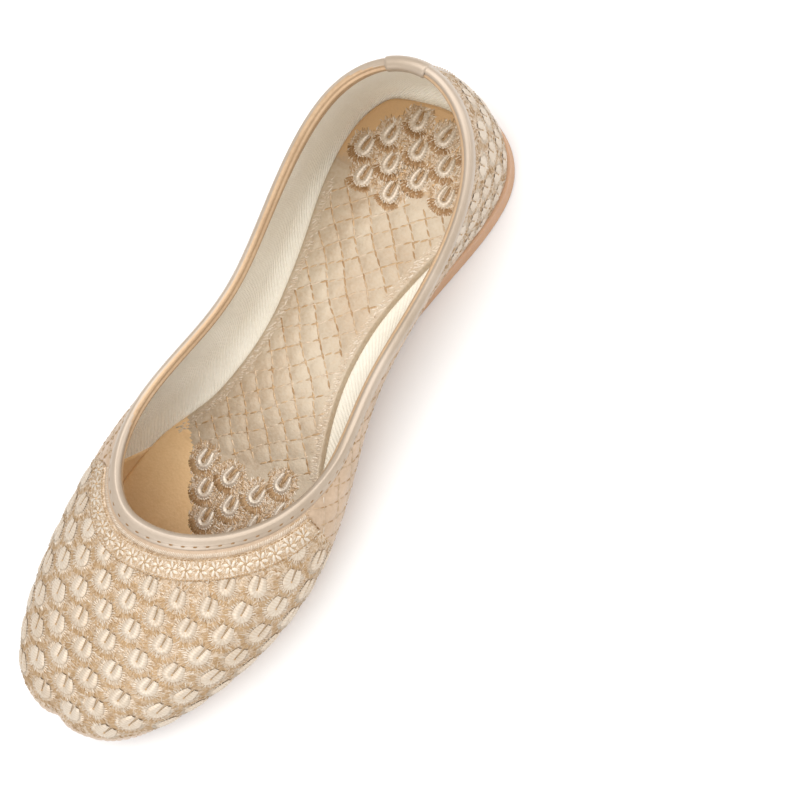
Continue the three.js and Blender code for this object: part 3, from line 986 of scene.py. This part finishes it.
# Outsole with its pressed tread.
tread = {
    "rim": 0.0058, "dash": (0.0029, 0.0019, 0.0052), "dashIn": 0.0034, "dashDeep": 0.0006, "groove": 0.00055,
    "fieldDeep": 0.0003, "waist": (0.0045, 0.0515), "oval": (-0.0105, 0.029, 0.0082, 0.0125),
    "dotPitch": (0.0072, 0.0066),
    # x, y, radius, petals, turn
    "flowers": [
        (0.0035, -0.0257, 0.0165, 6, 0.2), (-0.019, -0.0605, 0.0155, 6, 0.5), (0.014, -0.0575, 0.015, 6, 0.1),
        (-0.002, -0.093, 0.0165, 6, 0.35), (-0.0115, 0.087, 0.0185, 8, 0.1),
    ],
    "beads": (0.0019, 0.00165),
    # outline and inner drop of a petal, in shares of the radius: middle, half length, half width, swell
    "petal": [(0.64, 0.36, 0.29, 0.5), (0.52, 0.17, 0.105, 2.2)],
    "leaves": [(-0.019, -0.034, 0.6), (0.024, -0.037, -0.5), (-0.0185, -0.083, 2.4), (0.018, -0.083, -2.5)],
}
soleOutline = footprint + shift[:2]


def alongRing(points, ring):  # how far round the outline the nearest place is
    nearest = np.full(len(points), 1.0)
    run = np.zeros(len(points))
    length = lengthAlong(np.vstack([ring, ring[:1]]))
    for k in range(len(ring)):
        a, b = ring[k], ring[(k + 1) % len(ring)]
        t = np.clip((points - a) @ (b - a) / ((b - a) @ (b - a)), 0, 1)
        off = ((points - a - t[:, None] * (b - a)) ** 2).sum(1)
        closer = off < nearest
        nearest = np.where(closer, off, nearest)
        run = np.where(closer, length[k] + t * (length[k + 1] - length[k]), run)
    return run, length[-1]


def dip(off, wide, deep):
    return deep * np.exp(-((off / wide) ** 2))


def treadDepth(points, far):
    x, y = points[:, 0], points[:, 1]
    depth = tread["fieldDeep"] * ease(tread["rim"], tread["rim"] + 0.0008, far)
    depth = np.maximum(depth, dip(far - tread["rim"], 0.00035, tread["groove"]))
    run, total = alongRing(points, soleOutline)
    count = round(total / tread["dash"][2])
    beat = run / total * count
    offRun = np.abs(beat - np.floor(beat) - 0.5) * tread["dash"][2]
    inDash = 1.0
    for size, off in zip(tread["dash"], (offRun, np.abs(far - tread["dashIn"]))):
        inDash = inDash * ease(size / 2 + 0.0003, size / 2 - 0.0003, off)
    depth = np.maximum(depth, inDash * tread["dashDeep"])
    smooth = (y > tread["waist"][0]) & (y < tread["waist"][1])
    inner = far > tread["rim"] + 0.001
    depth = np.where(smooth & inner, 0.00015, depth)
    for line in tread["waist"]:
        depth = np.maximum(depth, dip(y - line, 0.00055, 0.0006) * (far > tread["rim"]))
    cx, cy, rx, ry = tread["oval"]
    depth = np.maximum(depth, 0.0006 * ease(1.05, 0.95, np.hypot((x - cx) / rx, (y - cy) / ry)))
    for cx, cy, radius, petals, turn in tread["flowers"]:
        dx, dy = x - cx, y - cy
        r, angle = np.hypot(dx, dy), np.arctan2(dy, dx) - turn
        sector = 2 * math.pi / petals
        angle = angle - np.rint(angle / sector) * sector
        px, py = r * np.cos(angle) / radius, r * np.sin(angle) / radius
        for middle, long, wide, swell in tread["petal"]:
            wide = wide * 6 / petals * (1 + swell * (px - middle))
            ring = np.hypot((px - middle) / long, py / wide)
            mark = dip((ring - 1) * wide * radius, 0.00052, 0.00075) * (r > radius * 0.3)
            depth = np.maximum(depth, mark)
        hx, hy = dx / tread["beads"][0], dy / tread["beads"][1]
        row = np.rint(hy)
        col = np.rint(hx - 0.5 * (row % 2)) + 0.5 * (row % 2)
        bead = np.hypot((hx - col) * tread["beads"][0], (hy - row) * tread["beads"][1])
        depth = np.maximum(depth, dip(bead, 0.00055, 0.00055) * (r < radius * 0.24))
    for cx, cy, turn in tread["leaves"]:
        for k in (-1, 0, 1):
            dx, dy = x - cx - k * 0.0032 * math.cos(turn), y - cy - k * 0.0032 * math.sin(turn)
            u, v = dx * math.cos(turn) + dy * math.sin(turn), -dx * math.sin(turn) + dy * math.cos(turn)
            u = u + v * v / 0.014
            depth = np.maximum(depth, 0.0006 * ease(1.15, 0.8, np.hypot(u / 0.0011, v / 0.0048)))
    flower = np.min([np.hypot(x - f[0], y - f[1]) - f[2] for f in tread["flowers"]], axis=0)
    leaf = np.min([np.hypot(x - f[0], y - f[1]) for f in tread["leaves"]], axis=0)
    gx, gy = np.rint(x / tread["dotPitch"][0]), np.rint(y / tread["dotPitch"][1])
    ox = x - (gx + 0.22 * np.sin(gx * 12.9 + gy * 4.1)) * tread["dotPitch"][0]
    oy = y - (gy + 0.22 * np.sin(gx * 7.7 + gy * 9.2)) * tread["dotPitch"][1]
    dots = 0.0006 * ease(1.25, 0.8, np.hypot(ox / 0.00125, oy / 0.00095))
    clear = (flower > 0.0012) & (leaf > 0.0075) & (far > tread["rim"] + 0.0018) & ~smooth
    return np.maximum(depth, dots * clear)


def soleSkin(s, t):
    at = ladder(s, t, lambda around: edgeAt(around, 0 * around))
    far = farFrom(at, soleOutline)
    low = soleBottom(at[:, 1] - shift[1]) + shift[2]
    roundOff = 0.0011 * (1 - np.sqrt(1 - (1 - np.clip(far / 0.0011, 0, 1)) ** 2))
    return np.column_stack([at, low + roundOff + treadDepth(at, far)])


def treadPaintedShade(at):  # painted shade: darker in the pressed lines, the deeper the darker
    deep = at[:, 2] - soleBottom(at[:, 1] - shift[1]) - shift[2] - 0.0003
    return 0.34 - 450 * np.clip(deep, 0, 0.0006)


soleBottomMesh = sheetMesh("sole_tread", 520, 150, soleSkin, (0.24, 0.08))
setTone(soleBottomMesh, treadPaintedShade)
soleBottomMesh.flip_normals()
piece(soleBottomMesh, [gumRubber], ["outsole"])


def soleWall(s, t):
    flat = edgeAt(s, 0 * s)
    low, high = soleBottom(flat[:, 1]) + 0.0011, soleTop(flat[:, 1])
    turn = np.clip((t - 0.6) / 0.3, 0, 1)
    inward = 0.0007 * (1 - np.cos(turn * math.pi / 2)) + 0.004 * np.clip((t - 0.9) / 0.1, 0, 1)
    bulge = 0.00025 * np.sin(math.pi * np.clip(t / 0.6, 0, 1))
    flat = edgeAt(s, inward + bulge)
    rise = np.clip(t / 0.6, 0, 1)
    z = low + (high - 0.0007 - low) * rise + 0.0007 * np.sin(turn * math.pi / 2)
    return np.column_stack([flat, z]) + shift


wallMesh = sheetMesh("sole_wall", 720, 12, soleWall, (0.6, 0.01))
setTone(wallMesh, lambda at: np.full(len(at), 0.42))
piece(wallMesh, [gumRubber])
print("outsole")


# Embroidery.
def seamLine(around, up):  # how far forward of the seam between vamp and quarter a place is
    outer = np.mod(around, 1) < 0.5
    line = [np.where(outer, upperLook["outerLine"][k], upperLook["innerLine"][k]) for k in (0, 1)]
    return line[0] + line[1] * (1 - up) - faceAt(around, up)[:, 1]


def onVamp(inside, collar, foot):
    def allowed(points):
        around, up, on = vamp["lookUp"](points)
        high = (fromCollar(around, up) > collar) & (fromFoot(around, up) > bandTop(around) + foot)
        return on & (seamLine(around, up) > inside) & high
    return allowed


def onHeel(side, inside, strip, collar, foot):
    def allowed(points):
        around, up, on = side["lookUp"](points)
        line = upperLook["heelLine"][0] + upperLook["heelLine"][1] * up + inside
        _, _, fromStrip = regions(around, up)
        high = (fromCollar(around, up) > collar) & (fromFoot(around, up) > foot)
        return on & (faceAt(around, up)[:, 1] > line) & (fromStrip > strip) & high & ownSide(side, around)
    return allowed


def ownSide(side, around):
    return (np.mod(around, 1) < backSeam) == (side is outerSide)


def onQuarter(side):
    def allowed(points):
        around, up, on = side["lookUp"](points)
        isVamp, isHeel, fromStrip = regions(around, up)
        high = (fromCollar(around, up) > 0.0056) & (fromFoot(around, up) > 0.0016)
        return on & ~isVamp & ~isHeel & (fromStrip > 0) & high & ownSide(side, around)
    return allowed


def placeInsole(flat, high):
    at = -flat
    return np.column_stack([at, insoleTop(at, farFrom(at, outline[::4])) + high])


def fillStitches(spots, low, high, allowed, pitch=0.00118, clear=0.0044, tones=(0.1, 0.85)):
    # short gold stitches that fan out from the nearest scale into the ground between
    grids = np.meshgrid(np.arange(low[0], high[0], pitch), np.arange(low[1], high[1], pitch))
    x, y = [g.ravel() for g in grids]
    points = np.column_stack([x, y]) + chance.normal(0, pitch * 0.22, (len(x), 2))
    points = points[allowed(points)]
    parts = []
    for point in points:
        gap = spots - point
        far = np.hypot(gap[:, 0], gap[:, 1])
        near = far.argmin()
        if far[near] > clear:
            turn = math.atan2(gap[near, 1], gap[near, 0]) + chance.normal(0, 0.3)
            size = (chance.uniform(0.0009, 0.0019), 0.00048, chance.uniform(0.0002, 0.00045))
            parts.append((spike, *point, turn, size, tones[0] + tones[1] * chance.uniform() ** 1.6))
    return parts


def towardToe(points):  # the turn that points a scale along the shoe
    step = 0.0005
    ways = [(step, 0), (-step, 0), (0, step), (0, -step)]
    still = np.zeros(len(points))
    right, left, front, rear = [vamp["place"](points + way, still)[:, 1] / (2 * step) for way in ways]
    return np.arctan2(right - left, rear - front + 0.25)


vampLow, vampHigh = vamp["low"], vamp["high"]
spots, parts = scatterScales("upper", vampLow, vampHigh, onVamp(0.0022, 0.0142, 0.002), turnOf=towardToe)
lay("vamp_scales", parts, vamp["place"], [threads])
parts = fillStitches(spots, vampLow, vampHigh, onVamp(0.0004, 0.0142, 0.0004))
lay("vamp_fill", parts, vamp["place"], [threads])


def throatLine(distance):  # flat points at that distance from the collar, across the vamp
    around = np.linspace(-0.34, 0.34, 400)
    up = upFor(np.mod(around, 1), fromFoot(around, 1 + 0 * around) - distance)
    keep = seamLine(around, up) > 0
    return vamp["flatOf"](around, up)[keep]


border = {
    "middle": 0.0107, "pitch": 0.0059, "rows": (0.0074, 0.0080, 0.0136, 0.0142), "from": 0.0069, "to": 0.0147,
    "proud": 0.0008, "rope": 0.0061,
}
borderRun = np.linspace(border["from"], border["to"], 12)
borderEnds = []
for distance in borderRun:  # where the seams cut the border
    around = np.linspace(-0.345, 0.345, 2400)
    up = upFor(np.mod(around, 1), fromFoot(around, 1 + 0 * around) - distance)
    borderEnds.append(around[seamLine(around, up) > 0.0002][[0, -1]])
borderEnds = np.array(borderEnds)


def borderSkin(s, t):
    distance = border["from"] + (border["to"] - border["from"]) * t
    inner, outer = [np.interp(distance, borderRun, borderEnds[:, k]) for k in (0, 1)]
    around = inner * (1 - s) + outer * s
    up = upFor(np.mod(around, 1), fromFoot(around, 1 + 0 * around) - distance)
    edge = np.clip(np.minimum(np.minimum(t, 1 - t) / 0.1, np.minimum(s, 1 - s) / 0.006), 0, 1)
    return skinAt(around, up, border["proud"] * np.sqrt(1 - (1 - edge) ** 2))


piece(sheetMesh("border_band", 360, 14, borderSkin, (0.12, 0.008), weld=False), [sewnGround])


def placeBorder(flat, high):
    return vamp["place"](flat, high + border["proud"] * 0.95)


def onBorder(points):
    around, up, on = vamp["lookUp"](points)
    fall = fromCollar(around, up)
    between = (fall > border["from"] + 0.0006) & (fall < border["to"] - 0.0006)
    return on & between & (seamLine(around, up) > 0.001)


def makeFlower(k):
    parts = []
    for n in range(12):
        turn = (n + 0.5 * k) * 2 * math.pi / 12
        light = n % 2 == 1
        long = 0.0023 if light else 0.0025
        parts.append((
            spike, math.cos(turn) * (0.0005 + long / 2), math.sin(turn) * (0.0005 + long / 2), turn,
            (long, 0.00115 if light else 0.0004, 0.0006 if light else 0.0004), 0.97 if light else 0.3,
        ))
    for n in range(5):  # a small crescent between two flowers
        size = (0.0013, 0.0005, 0.0004)
        parts.append((spike, 0.00295, (n - 2) * 0.0008, 0.35 * (n - 2), size, 0.5 + 0.1 * n))
    parts.append((dot, 0, 0, 0, (0.0007, 0.0007, 0.0006), 0.35))
    return gather("flower", parts)


def alongLine(line, pitch):  # evenly spaced places on a flat line with its direction there
    run = lengthAlong(line)
    for at in np.arange(pitch / 2, run[-1] - pitch * 0.45, pitch):
        here, ahead = [onLine(line, run, at + d) for d in (-0.001, 0.001)]
        yield (here + ahead) / 2, math.atan2(*(ahead - here)[::-1])


flowerKinds = [makeFlower(k) for k in range(2)]
noScales = np.array([[9.0, 9.0]])  # a place far off, so that the stitches all lie one way
parts = fillStitches(noScales, vampLow, vampHigh, onBorder, 0.0013, tones=(0.3, 0.5))
for k, (at, turn) in enumerate(alongLine(throatLine(border["middle"]), border["pitch"])):
    parts.append((flowerKinds[k % 2], *at, turn, (1, 1, 1), chance.uniform(-0.05, 0.05)))
for k, distance in enumerate(border["rows"]):
    length, tone = (0.0012, 0.2) if k in (0, 3) else (0.0009, 0.7)
    parts += runStitches(throatLine(distance), length, 0.0004, 0.0003, tone)
lay("throat_border", parts, placeBorder, [threads])
lay("throat_rope", [
    (
        thread, *at, turn + 0.95 + chance.normal(0, 0.05), (0.0017, 0.00052, 0.0003),
        0.85 + chance.uniform(-0.12, 0.1),
    )
    for at, turn in alongLine(throatLine(border["rope"]), 0.00078)
], vamp["place"], [threads])


def crossing(side, ends, signed):  # flat points where a line crosses each height
    flat = []
    for up in np.linspace(0.05, 0.9, 20):
        around = np.linspace(*ends, 160)
        value = signed(around, up + 0 * around)
        k = np.argmax(value[:-1] * value[1:] < 0)
        around = around[k] + (around[k + 1] - around[k]) * value[k] / (value[k] - value[k + 1])
        flat.append(side["flatOf"](np.array([around]), np.array([up]))[0])
    return np.array(flat)


for word, side, seam, heelAt, underEdge in (
    ("outer", outerSide, (0.17, 0.4), backSeam - 0.07, np.linspace(0.2, backSeam - 0.01, 200)),
    ("inner", innerSide, (0.6, 0.83), backSeam + 0.07, np.linspace(backSeam + 0.01, 0.8, 200)),
):
    top, foot = [side["flatOf"](np.array([heelAt]), np.array([up])) for up in (0.9, 0.1)]
    turn = math.atan2(*(foot - top)[0][::-1]) - math.pi / 2
    forScales, forFill = onHeel(side, 0.0035, 0.0036, 0.0086, 0.004), onHeel(side, 0.0, 0.0008, 0.0054, 0.0012)
    heelSpots, parts = scatterScales("upper", side["low"], side["high"], forScales, turn, proud=0.6)
    parts += fillStitches(heelSpots, side["low"], side["high"], forFill)
    lay(word + "_heel_scales", parts, side["place"], [threads])
    parts = latticeStitches(side["low"], side["high"], onQuarter(side))
    parts += runStitches(crossing(side, seam, seamLine), 0.0016, 0.0005, 0.0004, 0.2)
    edgeUp = upFor(underEdge, fromFoot(underEdge, 1 + 0 * underEdge) - 0.0051)
    parts += runStitches(side["flatOf"](underEdge, edgeUp), 0.0018, 0.0004, 0.00034, 0.3)
    lay(word + "_quarter_lattice", parts, side["place"], [threads])

lay("insole_scales", padParts, placeInsole, [threads])


def onScales(points):
    return insideOutline(-points) & (farFrom(-points, outline[::4]) > 0.0018) & nearScale(-points, 0.0058)


def onNet(points):
    return onInsole(2, 0.0042)(points) & ~nearScale(-points, 0.0054)


def onFringe(points):
    far = farFrom(-points, outline[::4])
    return onInsole(2, 0.0016)(points) & (far < 0.0042)


parts = []
for which in (0, 1):
    parts += fillStitches(padSpots[which], insoleLow, insoleHigh, onScales)
parts += latticeStitches(insoleLow, insoleHigh, onNet, 0.0028, 0.00068, (0.18, 0.34))
parts += fillStitches(noScales, insoleLow, insoleHigh, onFringe, 0.001, tones=(0.55, 0.4))
lay("insole_lattice", parts, placeInsole, [threads])


# Light, floor and camera.
shot = {
    "target": (0.0339, 0.0291, 0.025), "distance": 0.5162, "lens": 74.8,
    "azimuth": 103.76, "elevation": 72.96, "roll": -70.06,
}
azimuth, elevation, roll = [math.radians(shot[key]) for key in ("azimuth", "elevation", "roll")]
flat = math.cos(elevation)
back = Vector((math.sin(azimuth) * flat, -math.cos(azimuth) * flat, math.sin(elevation)))
level = (-back).cross(Vector((0, 0, 1))).normalized()
rise = level.cross(-back)
right = level * math.cos(roll) + rise * math.sin(roll)
cameraData = bpy.data.cameras.new("camera")
cameraData.lens = shot["lens"]
cameraData.clip_start = 0.01
camera = bpy.data.objects.new("camera", cameraData)
bpy.context.scene.collection.objects.link(camera)
spot = Vector(shot["target"]) + back * shot["distance"]
upward = back.cross(right)
camera.matrix_world = Matrix([(right[k], upward[k], back[k], spot[k]) for k in range(3)] + [(0, 0, 0, 1)])
bpy.context.scene.camera = camera


def softLight(name, place, aim, size, power):
    data = bpy.data.lights.new(name, "AREA")
    data.shape = "DISK"
    data.size, data.energy = size, power
    light = bpy.data.objects.new(name, data)
    light.location = place
    light.rotation_euler = (Vector(aim) - Vector(place)).to_track_quat("-Z", "Y").to_euler()
    bpy.context.scene.collection.objects.link(light)


softLight("key", (-0.08, 0.25, 1.6), (0, 0, 0.02), 1.6, 17)
softLight("side", (0.3, -1.3, 1.1), (0, -0.02, 0.02), 1.0, 6)
softLight("back", (0.9, 1.0, 1.0), (0, 0, 0.02), 1.0, 5)
world = bpy.data.worlds.new("studio")
world.use_nodes = True
world.node_tree.nodes["Background"].inputs["Color"].default_value = (1, 1, 1, 1)
world.node_tree.nodes["Background"].inputs["Strength"].default_value = 0.85
bpy.context.scene.world = world

bm = bmesh.new()
bmesh.ops.create_grid(bm, x_segments=2, y_segments=2, size=6)
floorMesh = bpy.data.meshes.new("floor")
bm.to_mesh(floorMesh)
bm.free()
floor = bpy.data.objects.new("floor", floorMesh)
floor.location.z = -0.0001
bpy.context.scene.collection.objects.link(floor)
floorMesh.materials.append(finish(
    "pale_floor", [(0.2, 0.86, 0.86, 0.86), (0.8, 0.9, 0.9, 0.9)], patch=3, speck=40, metal=0.0,
    rough=(0.8, 0.9), grainDeep=0.00001, fineDeep=0.00001, grain=300, fine=900,
))
bpy.context.scene.view_settings.view_transform = "Standard"

print("done")
